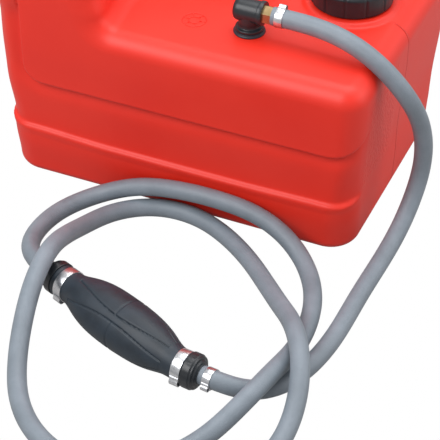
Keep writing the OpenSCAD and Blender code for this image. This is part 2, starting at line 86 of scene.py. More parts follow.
def face_outwards(ob):
    change_mesh(ob, lambda bm: bmesh.ops.recalc_face_normals(bm, faces=bm.faces))


def keep_sharp(ob, degrees):
    """Marks edges sharper than an angle, so that smooth shading breaks there."""
    limit = math.radians(degrees)

    def mark(bm):
        for edge in bm.edges:
            if len(edge.link_faces) == 2 and edge.calc_face_angle(0.0) > limit:
                edge.smooth = False

    change_mesh(ob, mark)


def mesh_object(name, verts, faces, material, smooth=True):
    """An object from points in millimetres; faces are tuples, or an array with one length of face."""
    me = bpy.data.meshes.new(name)
    verts = np.asarray(verts, dtype=np.float64) * MM
    if isinstance(faces, np.ndarray):
        me.vertices.add(len(verts))
        me.vertices.foreach_set("co", verts.ravel())
        me.loops.add(faces.size)
        me.loops.foreach_set("vertex_index", faces.ravel().astype(np.int32))
        me.polygons.add(len(faces))
        me.polygons.foreach_set("loop_start", np.arange(0, faces.size, faces.shape[1], dtype=np.int32))
        me.update(calc_edges=True)
    else:
        me.from_pydata([tuple(v) for v in verts], [], faces)
    me.validate()
    me.materials.append(material)
    ob = bpy.data.objects.new(name, me)
    scene.collection.objects.link(ob)
    if smooth:
        me.shade_smooth()
    return ob


def solid(name, verts, faces, material, sharp):
    """A closed piece with its faces turned outwards and its sharper edges marked."""
    ob = mesh_object(name, verts, faces, material)
    face_outwards(ob)
    keep_sharp(ob, sharp)
    return ob


def dress(ob, node=None, body="tank"):
    """Puts a piece on its body and hides the CAD node that it stands for."""
    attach(ob, body)
    if node:
        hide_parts(node)
    return ob


def frame_at(origin, heading_deg=0.0):
    """Origin and axes of a level frame whose +X is a heading in plan."""
    a = math.radians(heading_deg)
    return (np.array(origin, float), np.array([math.cos(a), math.sin(a), 0.0]),
            np.array([-math.sin(a), math.cos(a), 0.0]), np.array([0.0, 0.0, 1.0]))


def moved(fr, along_x, flip=False):
    """A frame moved along its own X, and turned half round where flip is set."""
    origin, x, y, z = fr
    return (origin + along_x * x, -x if flip else x, -y if flip else y, z)


def on_axis(fr, distance):
    """The point on a frame's X axis."""
    return tuple(fr[0] + distance * fr[1])


def place(fr, points):
    """Points of a frame, as points of the model."""
    points = np.asarray(points, float)
    return fr[0] + points[:, 0:1] * fr[1] + points[:, 1:2] * fr[2] + points[:, 2:3] * fr[3]


def ring_faces(rows, sides):
    """Quads between rows of points that each go once round."""
    i, k = np.meshgrid(np.arange(rows - 1), np.arange(sides), indexing="ij")
    k2 = (k + 1) % sides
    quads = np.stack([i * sides + k, i * sides + k2, (i + 1) * sides + k2, (i + 1) * sides + k], -1)
    return [tuple(map(int, f)) for f in quads.reshape(-1, 4)]


def end_caps(rows, sides):
    return [tuple(range(sides - 1, -1, -1)), tuple(range((rows - 1) * sides, rows * sides))]


def turned(profile, segments, displace=None):
    """Turns [distance along X, radius] points; displace(s, r, angle) is added to a radius."""
    verts, faces, rows = [], [], []
    for s, r in profile:
        if r < 1e-6:
            rows.append([len(verts)])
            verts.append((s, 0.0, 0.0))
            continue
        rows.append(list(range(len(verts), len(verts) + segments)))
        for k in range(segments):
            a = TURN * k / segments
            rr = r + (displace(s, r, a) if displace else 0.0)
            verts.append((s, rr * math.cos(a), rr * math.sin(a)))
    pairs = list(zip(rows[:-1], rows[1:]))
    if len(rows[0]) > 1 and len(rows[-1]) > 1:
        pairs.append((rows[-1], rows[0]))
    for a, b in pairs:
        if len(a) == 1 and len(b) == 1:
            continue
        for k in range(segments):
            k2 = (k + 1) % segments
            if len(a) == 1:
                faces.append((a[0], b[k2], b[k]))
            elif len(b) == 1:
                faces.append((a[k], a[k2], b[0]))
            else:
                faces.append((a[k], a[k2], b[k2], b[k]))
    return np.array(verts), faces


def lathe(name, profile, material, fr, segments=64, along="x", displace=None, sharp=35):
    """A turned piece whose axis is its frame's X or Z."""
    verts, faces = turned(profile, segments, displace)
    if along == "z":
        verts = np.c_[verts[:, 1], verts[:, 2], verts[:, 0]]
    return solid(name, place(fr, verts), faces, material, sharp)


def rounded(profile, radius=0.5, steps=3):
    """Rounds the corners of an open [s, r] profile."""
    out = [profile[0]]
    for i in range(1, len(profile) - 1):
        a, b, c = (np.array(profile[j], float) for j in (i - 1, i, i + 1))
        la, lc = np.linalg.norm(a - b), np.linalg.norm(c - b)
        if la < 1e-6 or lc < 1e-6:
            continue
        cut = min(radius, 0.45 * la, 0.45 * lc)
        p0, p1 = b + (a - b) / la * cut, b + (c - b) / lc * cut
        for k in range(steps + 1):
            t = k / steps
            out.append(tuple((1 - t) ** 2 * p0 + 2 * t * (1 - t) * b + t * t * p1))
    return out + [profile[-1]]


# ------------------------------------------------------------------ materials
def new_material(name):
    m = bpy.data.materials.new(name)
    m.use_nodes = True
    return m, m.node_tree, m.node_tree.nodes["Principled BSDF"]


def add(nt, kind, **inputs):
    node = nt.nodes.new(kind)
    for socket, value in inputs.items():
        node.inputs[socket].default_value = value
    return node


def noise(nt, coords, scale, detail=3.0, rough=0.5):
    n = add(nt, "ShaderNodeTexNoise", Scale=scale, Detail=detail, Roughness=rough)
    nt.links.new(coords, n.inputs["Vector"])
    return n.outputs["Fac"]


def object_coords(nt):
    return nt.nodes.new("ShaderNodeTexCoord").outputs["Object"]


def ramp(nt, fac, stops):
    r = nt.nodes.new("ShaderNodeValToRGB")
    for element, (position, colour) in zip(r.color_ramp.elements, stops):
        element.position = position
        element.color = tuple(colour) + (1.0,)
    nt.links.new(fac, r.inputs["Fac"])
    return r.outputs["Color"]


def bump(nt, height, strength, distance, normal=None):
    b = add(nt, "ShaderNodeBump", Strength=strength, Distance=distance)
    nt.links.new(height, b.inputs["Height"])
    if normal is not None:
        nt.links.new(normal, b.inputs["Normal"])
    return b.outputs["Normal"]


def map_range(nt, value, span, result, smooth=False):
    m = add(nt, "ShaderNodeMapRange")
    m.inputs["From Min"].default_value, m.inputs["From Max"].default_value = span
    m.inputs["To Min"].default_value, m.inputs["To Max"].default_value = result
    if smooth:
        m.interpolation_type = "SMOOTHSTEP"
    nt.links.new(value, m.inputs["Value"])
    return m.outputs["Result"]


def maths(nt, operation, *values):
    n = nt.nodes.new("ShaderNodeMath")
    n.operation = operation
    for i, value in enumerate(values):
        if isinstance(value, (int, float)):
            n.inputs[i].default_value = value
        else:
            nt.links.new(value, n.inputs[i])
    return n.outputs[0]


def srgb(*channels):
    """Linear colour from 8-bit screen values."""
    parts = [c / 255 for c in channels]
    return tuple(((c + 0.055) / 1.055) ** 2.4 if c > 0.04045 else c / 12.92 for c in parts)


def rise(nt, value, low, high):
    return map_range(nt, value, (low, high), (0.0, 1.0), True)


def fall(nt, value, low, high):
    return map_range(nt, value, (low, high), (1.0, 0.0), True)


def grain_mask(nt, x, y, z):
    """Where the end face has its coarse moulded grain, in metres."""
    end = maths(nt, "MULTIPLY", rise(nt, x, 0.1700, 0.1715), rise(nt, z, 0.056, 0.066))
    across = maths(nt, "MULTIPLY", rise(nt, y, -0.099, -0.088), fall(nt, y, -0.030, -0.012))
    return maths(nt, "MULTIPLY", end, maths(nt, "MULTIPLY", fall(nt, z, 0.146, 0.160), across))


def parting_line(nt, x, y):
    """Fine line of the mould down both ends, in metres."""
    line = fall(nt, maths(nt, "ABSOLUTE", y), 0.0003, 0.0011)
    ends = map_range(nt, maths(nt, "ABSOLUTE", x), (0.16, 0.165), (0.0, 1.0))
    return maths(nt, "MULTIPLY", line, ends)


def make_red():
    """Blow-moulded polyethylene: soft waves, fine skin, and grain on the end face only."""
    m, nt, b = new_material("red_polyethylene")
    co = object_coords(nt)
    tone = noise(nt, co, 9.0, 4.0, 0.55)
    colour = ramp(nt, tone, [(0.25, srgb(224, 37, 20)), (0.75, srgb(232, 46, 28))])
    nt.links.new(colour, b.inputs["Base Color"])
    separate = nt.nodes.new("ShaderNodeSeparateXYZ")
    nt.links.new(co, separate.inputs[0])
    x, y, z = separate.outputs
    cells = add(nt, "ShaderNodeTexVoronoi", Scale=330.0)
    nt.links.new(co, cells.inputs["Vector"])
    grain = maths(nt, "MULTIPLY", cells.outputs["Distance"], grain_mask(nt, x, y, z))
    normal = bump(nt, noise(nt, co, 1400.0, 2.0, 0.6), 0.12, 0.0003)
    normal = bump(nt, noise(nt, co, 35.0, 2.0, 0.5), 0.10, 0.0012, normal)
    normal = bump(nt, grain, 0.6, 0.0011, normal)
    normal = bump(nt, parting_line(nt, x, y), 1.0, 0.0016, normal)
    nt.links.new(normal, b.inputs["Normal"])
    nt.links.new(map_range(nt, tone, (0.3, 0.7), (0.44, 0.50)), b.inputs["Roughness"])
    b.inputs["IOR"].default_value = 1.5
    return m


def make_plain(name, dark, light, scale, rough, skin_scale, skin_strength, skin_depth, metallic=0.0):
    """Two close tones that drift at one scale, over a fine skin at another."""
    m, nt, b = new_material(name)
    co = object_coords(nt)
    tone = noise(nt, co, scale, 4.0, 0.6)
    nt.links.new(ramp(nt, tone, [(0.3, dark), (0.7, light)]), b.inputs["Base Color"])
    skin = noise(nt, co, skin_scale, 3.0, 0.6)
    nt.links.new(bump(nt, skin, skin_strength, skin_depth), b.inputs["Normal"])
    nt.links.new(map_range(nt, tone, (0.3, 0.7), (rough - 0.04, rough + 0.05)), b.inputs["Roughness"])
    b.inputs["Metallic"].default_value = metallic
    return m


RED = make_red()
BLACK = make_plain("black_plastic", srgb(27, 30, 34), srgb(37, 41, 46), 40.0, 0.33, 900.0, 0.15, 0.0003)
RUBBER = make_plain("black_rubber", srgb(26, 35, 44), srgb(37, 48, 59), 60.0, 0.5, 700.0, 0.2, 0.0004)
HOSE = make_plain("grey_hose", srgb(114, 123, 132), srgb(130, 139, 149), 30.0, 0.46, 900.0, 0.5, 0.0005)
BRASS = make_plain("brass", srgb(150, 126, 88), srgb(176, 152, 112), 90.0, 0.3, 600.0, 0.1, 0.0002, 1.0)
STEEL = make_plain("steel", srgb(196, 198, 202), srgb(226, 227, 230), 120.0, 0.3, 500.0, 0.04, 0.0001, 1.0)
LOOKS = {"red_polyethylene": RED, "black_plastic": BLACK, "black_rubber": RUBBER, "grey_hose": HOSE,
         "brass": BRASS, "steel": STEEL}

# ------------------------------------------------------------------ places
CAP_AT = frame_at((115.0, 19.0, 0.0))
PICKUP_AT = frame_at((50.0, -62.0, 0.0))
ELBOW_AT = frame_at((50.0, -62.0, 199.0))
DIAL_AT = frame_at((-1.0, -66.0, 0.0))
BULB_CENTRE = np.array([36.0, -298.0, 24.0])
BULB_DEG, INLET_DEG, CONNECTOR_DEG = -22.0, -8.0, -105.0
BULB_AT = frame_at(BULB_CENTRE, BULB_DEG)
INLET_AT = frame_at(BULB_CENTRE + 72.0 * BULB_AT[1], INLET_DEG)
CONNECTOR_AT = frame_at((198.0, -400.0, 10.5), CONNECTOR_DEG)

# ------------------------------------------------------------------ hoses
HOSE_R = 8.25
FLOOR_GAP = 0.05
ROUTE_STEP = 3.0
SPAN_POINTS = 24
HELD_POINTS = 4
SMOOTHING_PASSES = 40
TUBE_SHARP_DEG = 60


# Listed points: from the elbow to the bulb's inlet, and from the bulb's outlet to the connector
TANK_ROUTE = [
    (72, -62, 199), (88, -62, 199), (112, -63, 199), (138, -67, 197), (162, -71, 190), (184, -73, 175.5),
    (201, -67, 151), (209, -56, 124), (212, -48, 96), (212, -47, 68), (209, -57, 41), (206, -79, 21.5),
    (203, -106, 11.5), (201, -136, 8.5), (200, -166, 8.5), (200, -197, 8.5), (199.5, -227, 8.5),
    (196, -256, 8.5), (189, -283, 9), (178, -306, 11.5), (161, -323, 16),
    on_axis(INLET_AT, 37), on_axis(INLET_AT, 20)]
ENGINE_ROUTE = [
    on_axis(BULB_AT, -92), on_axis(BULB_AT, -108), (-78, -247, 21.5), (-90, -228, 16), (-96, -199, 10.5),
    (-91, -167, 9), (-70, -141, 13), (-34, -127.5, 25.5), (8, -127.5, 35), (48, -127.5, 36.5),
    (86, -128, 32.5), (118, -134, 21.5), (146, -154, 10.5), (166, -189, 8.5), (175, -230, 10),
    (178, -268, 19), (176, -311, 31), (167, -346, 27), (150, -382, 14), (126, -414, 8.5), (95, -437, 8.5),
    (57, -443, 8.5), (21, -428, 8.5), (-8, -401, 8.5), (-28, -367, 12.5), (-40, -332, 27.5),
    (-47, -297, 43.5), (-51, -260, 48), (-56, -221, 32), (-58, -185, 14.5), (-46, -151, 9),
    (-14, -128.5, 9), (26, -126.5, 9.5), (62, -140, 8.5), (95, -163, 8.5), (123, -191, 11.5),
    (148, -221, 21), (171, -252, 35.5), (191, -285, 39), (204, -320, 27), (207, -355, 13.5),
    on_axis(CONNECTOR_AT, -16), on_axis(CONNECTOR_AT, 0)]


def through(points):
    """Centripetal Catmull-Rom curve through the points."""
    p = np.array(points, float)
    p = np.vstack([2 * p[0] - p[1], p, 2 * p[-1] - p[-2]])
    out = []
    for i in range(1, len(p) - 2):
        p0, p1, p2, p3 = p[i - 1:i + 3]
        t0 = 0.0
        t1 = t0 + np.linalg.norm(p1 - p0) ** 0.5
        t2 = t1 + np.linalg.norm(p2 - p1) ** 0.5
        t3 = t2 + np.linalg.norm(p3 - p2) ** 0.5
        for t in np.linspace(t1, t2, SPAN_POINTS, endpoint=False):
            a1 = (t1 - t) / (t1 - t0) * p0 + (t - t0) / (t1 - t0) * p1
            a2 = (t2 - t) / (t2 - t1) * p1 + (t - t1) / (t2 - t1) * p2
            a3 = (t3 - t) / (t3 - t2) * p2 + (t - t2) / (t3 - t2) * p3
            b1 = (t2 - t) / (t2 - t0) * a1 + (t - t0) / (t2 - t0) * a2
            b2 = (t3 - t) / (t3 - t1) * a2 + (t - t1) / (t3 - t1) * a3
            out.append((t2 - t) / (t2 - t1) * b1 + (t - t1) / (t2 - t1) * b2)
    return np.array(out + [p[-2]])


def evened(values, passes, held=1):
    """Averages each value with its two neighbours again and again, with the ends held."""
    for _ in range(passes):
        mixed = 0.5 * values[1:-1] + 0.25 * (values[:-2] + values[2:])
        values = values.copy()
        values[held:-held] = mixed[held - 1:len(mixed) - held + 1]
    return values


def hose_line(points):
    """Evenly spaced centre line, with the bumps of the listed points evened out."""
    q = through(points)
    run = np.r_[0, np.cumsum(np.linalg.norm(np.diff(q, axis=0), axis=1))]
    at = np.linspace(0, run[-1], int(round(run[-1] / ROUTE_STEP)) + 1)
    q = np.c_[[np.interp(at, run, q[:, k]) for k in range(3)]].T
    q = evened(q, SMOOTHING_PASSES, HELD_POINTS)
    q[:, 2] = np.maximum(q[:, 2], HOSE_R + FLOOR_GAP)
    return q


def tube(name, centre, radius, material, sides=28):
    """A round tube along a line, with no twist from ring to ring."""
    d = np.gradient(centre, axis=0)
    d /= np.linalg.norm(d, axis=1)[:, None]
    side = np.zeros_like(centre)
    s = np.array([0.0, 0.0, 1.0])
    for i in range(len(centre)):
        s = s - s.dot(d[i]) * d[i]
        s /= np.linalg.norm(s)
        side[i] = s
    up = np.cross(d, side)
    a = np.arange(sides) * TURN / sides
    rings = np.cos(a)[None, :, None] * side[:, None, :] + np.sin(a)[None, :, None] * up[:, None, :]
    verts = (centre[:, None, :] + radius * rings).reshape(-1, 3)
    faces = ring_faces(len(centre), sides) + end_caps(len(centre), sides)
    ob = mesh_object(name, verts, faces, material)
    keep_sharp(ob, TUBE_SHARP_DEG)
    return ob


tank_line = hose_line(TANK_ROUTE)
engine_line = hose_line(ENGINE_ROUTE)
hose_a = dress(tube("fuel_hose_tank_side", tank_line, HOSE_R, HOSE), "hose_tank_side")
hose_b = dress(tube("fuel_hose_engine_side", engine_line, HOSE_R, HOSE), "hose_engine_side")

# ------------------------------------------------------------------ the moulded tank
# The shape is a distance field on a grid: side walls whose offset changes with height, a stepped top,
# rounded shoulders and a handle blended on. A plain hollow, the neck and the pickup hole are then cut.
HALF_X, HALF_Y = 172.5, 118.0
LOW_TOP_Z, BLOCK_TOP_Z, STEP_X = 178.0, 222.0, -67.0
STEP_CURVE_R, SHOULDER_R, FOOT_R = 10.0, 18.0, 10.0
CORNER_R, CORNER_EXTRA_LOW = 17.0, 13.0

BAND_TOP_Z, BAND_FOOT_IN, BAND_LIP_OUT = 51.5, 2.5, 0.7
BELT_IN, BELT_OUT, BELT_TOP_Z = 4.0, 2.3, 104
PANEL_LEFT, PANEL_LOW_Z, PANEL_RISE, PANEL_CORNER = -148.0, 107.0, 22.0, 20
PANEL_PROUD, GROOVE_DEEP, GROOVE_ABOVE, GROOVE_BELOW = 3.6, 2.6, 1.6, 9.0
END_SWELL_LOW, END_SWELL_HIGH = 1.6, 5.3

SEAT_R, SEAT_Z, SEAT_FOOT_Z = 43.0, 181.3, 160.0
NECK_HOLE_R, PICKUP_HOLE_R, HOLES_FROM_Z = 24.0, 11.0, 150
WALL, HOLLOW_CORNER, HOLLOW_R, HOLLOW_EDGE_R = 5.0, 30.0, 21.0, 12.0

HANDLE_Y, HANDLE_HALF_Y, HANDLE_HALF_Z, HANDLE_EDGE_R = 18.0, 16.0, 11.0, 8.0
HANDLE_LINE = [(-125, 208), (-105, 214), (-88, 221), (-70, 225), (-10, 225), (12, 222), (26, 212),
               (33, 198), (35, 180), (35, 168)]

GRID_LOW, GRID_HIGH = (-180, -126, -4), (180, 126, 240)
CELL = 1.8
SLAB = 24
PULL_PASSES, PULL_SHARE, GRADIENT_STEP = 3, 0.6, 0.25


def ease(v, low, high):
    """0 below low, 1 above high, and a smooth step between."""
    t = np.clip((v - low) / (high - low), 0.0, 1.0)
    return t * t * (3 - 2 * t)


def corner_distance(a, b):
    """Distance from two distances to planes that meet at a right angle; negative inside both."""
    return np.minimum(np.maximum(a, b), 0) + np.hypot(np.maximum(a, 0), np.maximum(b, 0))


def rounded_and(a, b, r):
    """Intersection of two shapes with a rounded edge."""
    return corner_distance(a + r, b + r) - r


def rounded_plan(x, y, inset, radius):
    """Distance in plan to a rounded rectangle; inset is how far in its corners have their centres."""
    return corner_distance(np.abs(x) - (HALF_X - inset), np.abs(y) - (HALF_Y - inset)) - radius


def soft_min(a, b, k):
    h = np.clip(0.5 + 0.5 * (b - a) / k, 0, 1)
    return b * (1 - h) + a * h - k * h * (1 - h)


def corner_radius(z):
    """Plan radius of the upright corners, larger low down."""
    return CORNER_R + CORNER_EXTRA_LOW * (1 - ease(z, 20, 112))


def along_wall(x, y, radius):
    """Distance along the wall from the middle of the nearest long side, positive towards +X."""
    cx, cy = HALF_X - radius, HALF_Y - radius
    ax, ay = np.abs(x), np.abs(y)
    angle = np.arctan2(np.maximum(ax - cx, 0), np.maximum(ay - cy, 1e-3))
    corner = cx + radius * angle
    end = cx + radius * math.pi / 2 + (cy - ay)
    u = np.where(ax < cx, ax, np.where(ay > cy, corner, end))
    # Inside the body, far from the wall, whichever face is nearer decides
    inner = (ax < cx) & (ay < cy)
    u = np.where(inner & (HALF_X - ax < HALF_Y - ay), end, u)
    return np.where(x < 0, -u, u)


def off_panel(u, z):
    """Signed distance to the outline of the upper panel, negative on the panel."""
    low = PANEL_LOW_Z + PANEL_RISE * np.clip((u - 146) / 42, 0, 1) ** 1.7
    from_left, r = u - PANEL_LEFT, PANEL_CORNER
    arc = np.hypot(np.minimum(from_left - r, 0), np.minimum(z - low - r, 0)) - r
    return np.where((from_left < r) & (z < low + r), arc, np.maximum(-from_left, low - z))


def front_offset(u, z):
    """Long walls: a bumper band, a belt set in above it, and a proud panel with an undercut line."""
    ledge = BAND_TOP_Z + 3.0 * ease(-u, 60, 150) + 1.5 * ease(u, 60, 150) + 4.0 * ease(np.abs(u), 158, 185)
    band = -BAND_FOOT_IN * (1 - ease(z, 6, 40)) + BAND_LIP_OUT * ease(z, ledge - 9, ledge - 3)
    step = np.clip((z - ledge + 0.3) / 3.4, 0, 1)
    belt = -BELT_IN * (1 - (1 - step) ** 2) + BELT_OUT * ease(z, ledge + 6, BELT_TOP_Z)
    s = off_panel(u, z)
    panel = PANEL_PROUD * ease(-s, -0.6, 2.0)
    # The line fades out on the end face, and at the top of the panel's upright left edge
    fade_top = np.where(u - PANEL_LEFT < 12, 1 - ease(z, 176, 196), 1.0)
    fade_end = 1 - ease(u, 168, 192)
    width = np.where(s < 1.0, GROOVE_ABOVE, GROOVE_BELOW)
    groove = -GROOVE_DEEP * np.exp(-((s - 1.0) / width) ** 2) * fade_top * fade_end
    # Left of the panel the wall comes out flush with it towards the block's top
    post = PANEL_PROUD * ease(z, 168, 198) * ease(s, 0.0, 2.0)
    return band + belt + panel + groove + post + ease(z, 112, 150)


def end_offset(z):
    """End walls: smooth, with one gentle swelling."""
    return -BAND_FOOT_IN + END_SWELL_LOW * ease(z, 6, 46) + END_SWELL_HIGH * ease(z, 60, 150)


def wall_offset(x, y, z, radius):
    """How far the walls stand out from a plain rounded box."""
    u = along_wall(x, y, radius)
    from_back = 26.0 * ease(y, 30, 90) * (x > 0)
    end = ease(np.abs(u) + from_back, 166, 192)
    return front_offset(u, z) * (1 - end) + end_offset(z) * end


def make_top_table():
    """Signed distance in XZ to the stepped top, whose step sits at x = 0 in the table."""
    edge_x, edge_r = -22, 13
    foot_x, foot_r = 7, 15
    edge_z, foot_z = BLOCK_TOP_Z - edge_r, LOW_TOP_Z + foot_r
    line = [(-400.0, BLOCK_TOP_Z), (edge_x, BLOCK_TOP_Z)]
    for t in np.linspace(0.12, 1.32, 9):
        line.append((edge_x + edge_r * math.sin(t), edge_z + edge_r * math.cos(t)))
    for t in np.linspace(1.32, 0.0, 11):
        line.append((foot_x - foot_r * math.sin(t), foot_z - foot_r * math.cos(t)))
    p = np.array(line + [(400.0, LOW_TOP_Z)])
    xs, zs = np.arange(-60, 60, 1.0), np.arange(130, 250, 1.0)
    gx, gz = np.meshgrid(xs, zs, indexing="ij")
    best = np.full(gx.shape, 1e9)
    for a, b in zip(p[:-1], p[1:]):
        d = b - a
        t = np.clip(((gx - a[0]) * d[0] + (gz - a[1]) * d[1]) / d.dot(d), 0, 1)
        best = np.minimum(best, np.hypot(gx - a[0] - t * d[0], gz - a[1] - t * d[1]))
    top = np.interp(xs, p[:, 0], p[:, 1])
    return xs, zs, np.where(gz < top[:, None], -best, best)


TOP_X, TOP_Z, TOP_D = make_top_table()


def top_distance(x, y, z):
    """Distance to the top; the step's wall curves back near the long walls and leans out low down."""
    ay = np.abs(y)
    past = np.maximum(ay - (HALF_Y + 4 - STEP_CURVE_R), 0)
    lean = STEP_CURVE_R - np.sqrt(np.clip(STEP_CURVE_R ** 2 - past ** 2, 0, None))
    lean = lean - 5.0 * ease(ay, 60, 112) * ease(210.0 - z, 0, 22)
    fx = np.clip(x - STEP_X + lean - TOP_X[0], 0, len(TOP_X) - 1.001)
    fz = np.clip(z - TOP_Z[0], 0, len(TOP_Z) - 1.001)
    i, j = fx.astype(np.int32), fz.astype(np.int32)
    a, b = fx - i, fz - j
    d = ((1 - a) * (1 - b) * TOP_D[i, j] + a * (1 - b) * TOP_D[i + 1, j]
         + (1 - a) * b * TOP_D[i, j + 1] + a * b * TOP_D[i + 1, j + 1])
    return d + np.minimum(z - TOP_Z[0], 0) + np.maximum(z - TOP_Z[-1], 0)


def handle_distance(x, y, z):
    """A bar with rounded edges that follows HANDLE_LINE in XZ."""
    best = np.full(x.shape, 1e9)
    for (x0, z0), (x1, z1) in zip(HANDLE_LINE[:-1], HANDLE_LINE[1:]):
        dx, dz = x1 - x0, z1 - z0
        t = np.clip(((x - x0) * dx + (z - z0) * dz) / (dx * dx + dz * dz), 0, 1)
        best = np.minimum(best, np.hypot(x - x0 - t * dx, z - z0 - t * dz))
    r = HANDLE_EDGE_R
    across = np.abs(y - HANDLE_Y) - (HANDLE_HALF_Y - r)
    return corner_distance(best - (HANDLE_HALF_Z - r), across) - r


def body_distance(x, y, z):
    radius = corner_radius(z)
    side = rounded_plan(x, y, radius, radius + wall_offset(x, y, z, radius))
    return rounded_and(rounded_and(side, top_distance(x, y, z), SHOULDER_R), -z, FOOT_R)


def tank_distance(x, y, z):
    """The whole shell: body, handle and cap seat, less the hollow and the two holes in the top."""
    from_cap = np.hypot(x - CAP_AT[0][0], y - CAP_AT[0][1])
    from_pickup = np.hypot(x - PICKUP_AT[0][0], y - PICKUP_AT[0][1])
    seat = np.maximum(rounded_and(from_cap - SEAT_R, z - SEAT_Z, 2.0), SEAT_FOOT_Z - z)
    d = soft_min(body_distance(x, y, z), handle_distance(x, y, z), 12.0)
    d = soft_min(d, seat, 4.0)
    inner = rounded_plan(x, y, HOLLOW_CORNER, HOLLOW_R)
    ceiling = top_distance(x + 4.0, y, z + WALL)
    hollow = np.maximum(rounded_and(inner, ceiling, HOLLOW_EDGE_R), WALL - z)
    holes = np.maximum(NECK_HOLE_R - from_cap, PICKUP_HOLE_R - from_pickup)
    return np.maximum(np.maximum(d, -hollow), np.where(z > HOLES_FROM_Z, holes, -1e3))


def sample_field(distance, axes):
    """The distance at every grid point, a slab of the grid at a time."""
    nx, ny, nz = map(len, axes)
    field = np.empty((nx, ny, nz), np.float32)
    gy, gz = np.meshgrid(axes[1], axes[2], indexing="ij")
    for i in range(0, nx, SLAB):
        xs = axes[0][i:i + SLAB]
        gx = np.broadcast_to(xs[:, None, None], (len(xs), ny, nz))
        field[i:i + SLAB] = distance(gx, np.broadcast_to(gy, gx.shape), np.broadcast_to(gz, gx.shape))
    return field


def crossed_edges(field):
    """Along each axis: the grid edges that cross the surface, where, and which of them start inside."""
    inside = field < 0
    found = []
    for axis in range(3):
        a, b = [slice(None)] * 3, [slice(None)] * 3
        a[axis], b[axis] = slice(0, -1), slice(1, None)
        edges = np.argwhere(inside[tuple(a)] != inside[tuple(b)])
        f0, f1 = field[tuple(a)][tuple(edges.T)], field[tuple(b)][tuple(edges.T)]
        points = edges.astype(np.float32)
        points[:, axis] += f0 / (f0 - f1)
        found.append((axis, edges, points, f0 < 0))
    return found


def shifted(edges, first, second, by):
    cells = edges.copy()
    cells[:, first] += by[0]
    cells[:, second] += by[1]
    return cells


def pull_to_surface(distance, verts, cell):
    """Moves points onto the surface, by no more than a share of a cell at a time."""
    e = GRADIENT_STEP
    for _ in range(PULL_PASSES):
        x, y, z = verts.T
        d = distance(x, y, z)
        slope = np.c_[distance(x + e, y, z) - distance(x - e, y, z),
                      distance(x, y + e, z) - distance(x, y - e, z),
                      distance(x, y, z + e) - distance(x, y, z - e)] / (2 * e)
        move = -(d / np.maximum((slope ** 2).sum(1), 0.25))[:, None] * slope
        far = np.linalg.norm(move, axis=1, keepdims=True)
        verts += move * np.minimum(1, PULL_SHARE * cell / np.maximum(far, 1e-9))
    return verts


def surface_nets(distance, low, high, cell):
    """Quads round the surface where the distance is 0, with one point in each grid cell that it crosses."""
    axes = [np.arange(a, b + cell, cell) for a, b in zip(low, high)]
    found = crossed_edges(sample_field(distance, axes))
    shape = tuple(len(a) - 1 for a in axes)
    total, count = np.zeros(shape + (3,), np.float32), np.zeros(shape, np.float32)
    for axis, edges, points, _ in found:
        first, second = [k for k in range(3) if k != axis]
        for by in ((0, 0), (0, -1), (-1, 0), (-1, -1)):
            cells = shifted(edges, first, second, by)
            ok = (cells >= 0).all(1) & (cells < np.array(shape)).all(1)
            np.add.at(total, tuple(cells[ok].T), points[ok])
            np.add.at(count, tuple(cells[ok].T), 1.0)
    used = np.argwhere(count > 0)
    index = np.full(shape, -1, np.int64)
    index[tuple(used.T)] = np.arange(len(used))
    verts = total[tuple(used.T)] / count[tuple(used.T)][:, None]
    verts = verts * cell + np.array([a[0] for a in axes])
    quads = []
    for axis, edges, _, starts_inside in found:
        first, second = ((1, 2), (2, 0), (0, 1))[axis]
        ring = []
        for by in ((-1, -1), (0, -1), (0, 0), (-1, 0)):
            ring.append(index[tuple(shifted(edges, first, second, by).T)])
        q = np.stack(ring, 1)
        q[~starts_inside] = q[~starts_inside][:, ::-1]
        quads.append(q[(q >= 0).all(1)])
    return pull_to_surface(distance, verts.astype(np.float64), cell), np.concatenate(quads)


def make_tank():
    verts, quads = surface_nets(tank_distance, GRID_LOW, GRID_HIGH, CELL)
    return dress(mesh_object("tank_body", verts, quads, RED), "tank_shell")


THREAD_LOW, THREAD_HIGH, THREAD_PITCH, THREAD_WIDE = 181, 194.5, 4.0, 0.7


def neck_thread(z, r, a):
    """One raised turn in every pitch, run out at both ends; the neck's other rows stay plain."""
    if r < 27.5 or z < THREAD_LOW or z > THREAD_HIGH:
        return 0.0
    turn = (z - THREAD_PITCH * a / TURN) % THREAD_PITCH
    ends = min(1, (z - THREAD_LOW) / 2, (THREAD_HIGH - z) / 2)
    return math.exp(-((turn - THREAD_PITCH / 2) / THREAD_WIDE) ** 2) * ends


def make_neck():
    profile = [(174.5, 24), (174.5, 28)] + [(z, 28) for z in np.arange(180, 195.1, 0.5)]
    profile += [(195.7, 27.3), (196, 26.5), (196, 25), (195.6, 24.2), (195, 24)]
    neck = lathe("tank_neck", profile, RED, CAP_AT, 96, "z", neck_thread)
    return dress(neck)


DIAL_RIM_R, DIAL_HUB_R, DIAL_TICKS = 10.7, 5.0, 6
HUB_TICK, RIM_TICK = 2.6, -1.6


def dial_marks(z, r, a):
    """Plain ticks: outwards on the hub, inwards on the rim."""
    if z < LOW_TOP_Z:
        return 0.0
    reach = HUB_TICK if r < (DIAL_RIM_R + DIAL_HUB_R) / 2 else RIM_TICK
    return reach * max(0.0, math.cos(DIAL_TICKS * a)) ** 40


def make_dial():
    """Witness mark of the moulding: a plain date dial raised on the top."""
    for part, r in (("rim", DIAL_RIM_R), ("hub", DIAL_HUB_R)):
        profile = [(177.0, r - 0.8), (178.45, r - 0.4), (178.6, r), (178.45, r + 0.4), (177.0, r + 0.8)]
        ring = lathe("date_dial_" + part, profile, RED, DIAL_AT, 144, "z", dial_marks)
        dress(ring)


make_tank()
make_neck()
make_dial()

